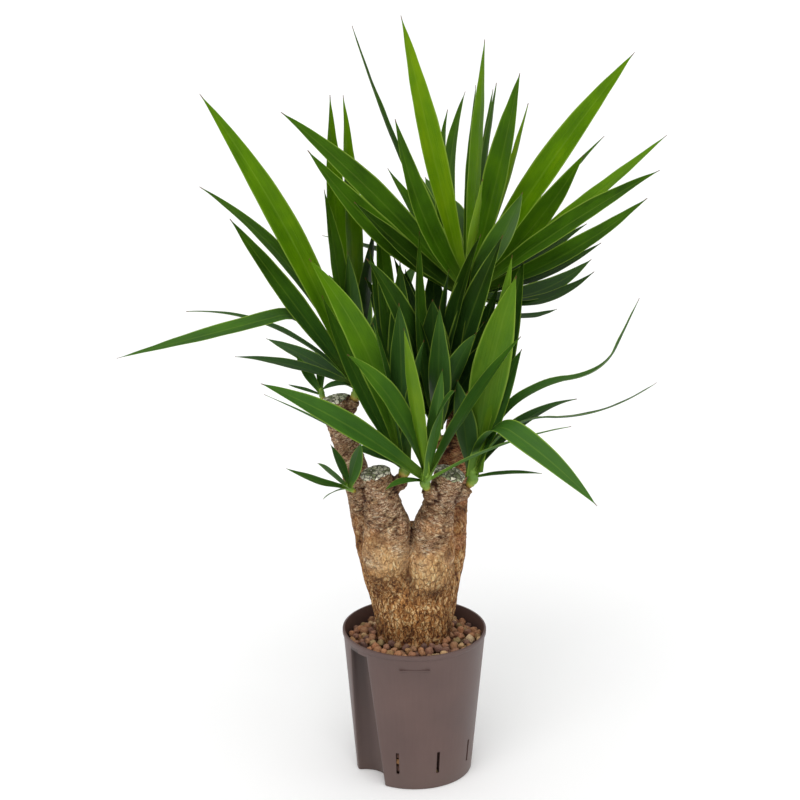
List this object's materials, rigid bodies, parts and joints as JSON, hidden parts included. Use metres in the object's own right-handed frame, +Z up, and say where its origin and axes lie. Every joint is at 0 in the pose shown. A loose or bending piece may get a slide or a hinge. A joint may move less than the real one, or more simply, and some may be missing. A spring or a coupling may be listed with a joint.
{
  "type": "potted yucca",
  "caption": "Branched yucca with sealed cut stems and rosettes of sword-shaped leaves, in a tapered plastic culture pot filled with clay pebbles.",
  "frame": {"origin": "centre of the pot's flat base, where it rests", "axes": "+Z up through the pot, +X to the right and +Y to the back as the plant is seen in the picture"},
  "size_m": [0.6712, 0.4686, 0.9568],
  "materials": {
    "pot_plastic": "satin",
    "fired_clay": "matte",
    "bark": "matte",
    "sealing_wax": "satin",
    "leaf_green": "satin"
  },
  "bodies": {
    "root": {"pot": "pot_plastic", "clay_pebbles": "fired_clay", "trunk": "bark", "wax_cap_front_left": "sealing_wax", "wax_cap_front_right": "sealing_wax", "wax_cap_back_left": "sealing_wax", "head_front_centre": "leaf_green", "head_front_right": "leaf_green", "head_front_left": "leaf_green", "head_low_left": "leaf_green", "head_middle": "leaf_green", "head_top": "leaf_green", "head_back_left": "leaf_green", "head_outer_left": "leaf_green"}
  },
  "joints": []
}
